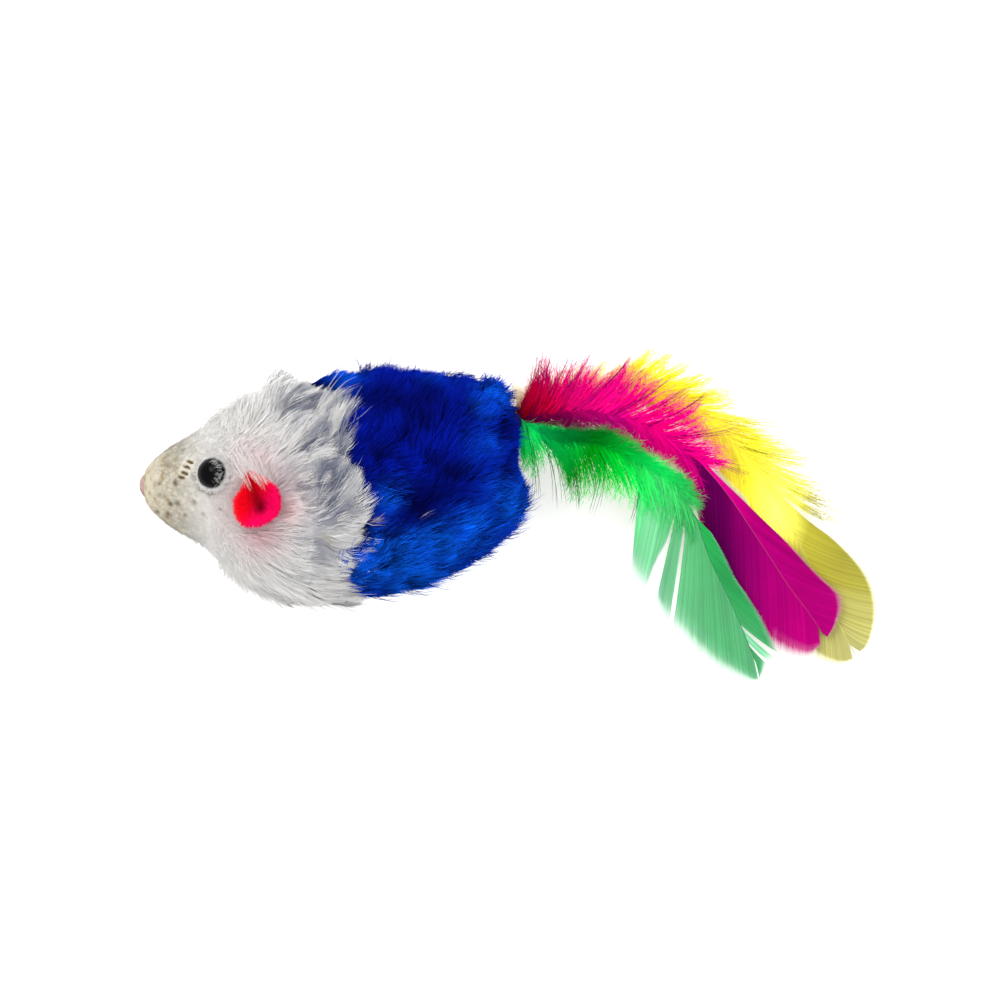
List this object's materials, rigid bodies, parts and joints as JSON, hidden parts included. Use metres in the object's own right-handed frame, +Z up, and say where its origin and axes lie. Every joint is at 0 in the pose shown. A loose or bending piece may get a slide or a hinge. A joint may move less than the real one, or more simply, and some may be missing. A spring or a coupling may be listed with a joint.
{
  "type": "mouse cat toy",
  "caption": "Small stuffed plush mouse for a cat, lying on its flank, with bead eyes, soft cup ears, a rattle inside and a springy tail of dyed feathers.",
  "frame": {"origin": "on the table under the middle of the toy's box", "axes": "+X from the nose to the feather tips, +Y from the mouse's back to its belly, +Z up from the table, which is the mouse's right side because it lies on its left flank"},
  "size_m": [0.1184, 0.051, 0.0331],
  "materials": {
    "white_plush": "matte",
    "blue_plush": "matte",
    "ear_plush": "matte",
    "nose_plush": "matte",
    "eye_gloss": "gloss",
    "glue": "satin",
    "thread": "matte",
    "wadding": "matte",
    "capsule_plastic": "satin",
    "bead_plastic": "satin",
    "quill": "satin",
    "green_feather": "satin",
    "magenta_feather": "satin",
    "yellow_feather": "satin"
  },
  "bodies": {
    "mouse": {"head_cover": "white_plush", "rear_cover": "blue_plush", "waist_seam": "thread", "head_seam": "thread", "rear_seam": "thread", "stuffing_front": "wadding", "stuffing_rear": "wadding", "tail_glue": "glue", "capsule_front": "capsule_plastic", "capsule_rear": "capsule_plastic", "right_eye_glue": "glue", "left_eye_glue": "glue", "right_eye": "eye_gloss", "left_eye": "eye_gloss", "right_ear_glue": "glue", "left_ear_glue": "glue", "nose": "nose_plush"},
    "bead_1": {"rattle_bead_1": "bead_plastic"},
    "bead_2": {"rattle_bead_2": "bead_plastic"},
    "bead_3": {"rattle_bead_3": "bead_plastic"},
    "right_ear": {"right_ear": "ear_plush"},
    "left_ear": {"left_ear": "ear_plush"},
    "tail_bundle": {"tail_binding": "glue"},
    "green_feather": {"green_quill": "quill", "green_down": "green_feather", "green_vane": "green_feather"},
    "magenta_feather": {"magenta_quill": "quill", "magenta_down": "magenta_feather", "magenta_vane": "magenta_feather"},
    "yellow_feather": {"yellow_quill": "quill", "yellow_down": "yellow_feather", "yellow_vane": "yellow_feather"}
  },
  "joints": [
    {"name": "tail_lift", "type": "hinge", "parent": "mouse", "child": "tail_bundle", "pos_m": [0.00064, 0.01511, 0.01629], "axis": [-0.342, -0.9397, 0], "range_deg": [0, 40], "stiffness_Nm_per_rad": 0.004},
    {"name": "green_sway", "type": "hinge", "parent": "tail_bundle", "child": "green_feather", "pos_m": [0.00064, 0.01511, 0.01629], "axis": [0, 0, 1], "range_deg": [-12, 12], "stiffness_Nm_per_rad": 0.002},
    {"name": "magenta_sway", "type": "hinge", "parent": "tail_bundle", "child": "magenta_feather", "pos_m": [0.00064, 0.01511, 0.01629], "axis": [0, 0, 1], "range_deg": [-12, 12], "stiffness_Nm_per_rad": 0.002},
    {"name": "yellow_sway", "type": "hinge", "parent": "tail_bundle", "child": "yellow_feather", "pos_m": [0.00064, 0.01511, 0.01629], "axis": [0, 0, 1], "range_deg": [-12, 12], "stiffness_Nm_per_rad": 0.002},
    {"name": "right_ear_tip", "type": "hinge", "parent": "mouse", "child": "right_ear", "pos_m": [-0.03924, 0.00288, 0.02835], "axis": [-0.0245, 0.9759, 0.217], "range_deg": [-20, 20], "stiffness_Nm_per_rad": 0.0004},
    {"name": "left_ear_tip", "type": "hinge", "parent": "mouse", "child": "left_ear", "pos_m": [-0.03924, 0.00288, 0.00422], "axis": [0.0245, -0.9759, 0.217], "range_deg": [-20, 20], "stiffness_Nm_per_rad": 0.0004},
    {"name": "bead_1_roll", "type": "slide", "parent": "mouse", "child": "bead_1", "axis": [1, 0, 0], "range_m": [-0.00275, 0.00625]},
    {"name": "bead_2_roll", "type": "slide", "parent": "mouse", "child": "bead_2", "axis": [1, 0, 0], "range_m": [-0.0045, 0.0045]},
    {"name": "bead_3_roll", "type": "slide", "parent": "mouse", "child": "bead_3", "axis": [1, 0, 0], "range_m": [-0.00625, 0.00275]}
  ]
}
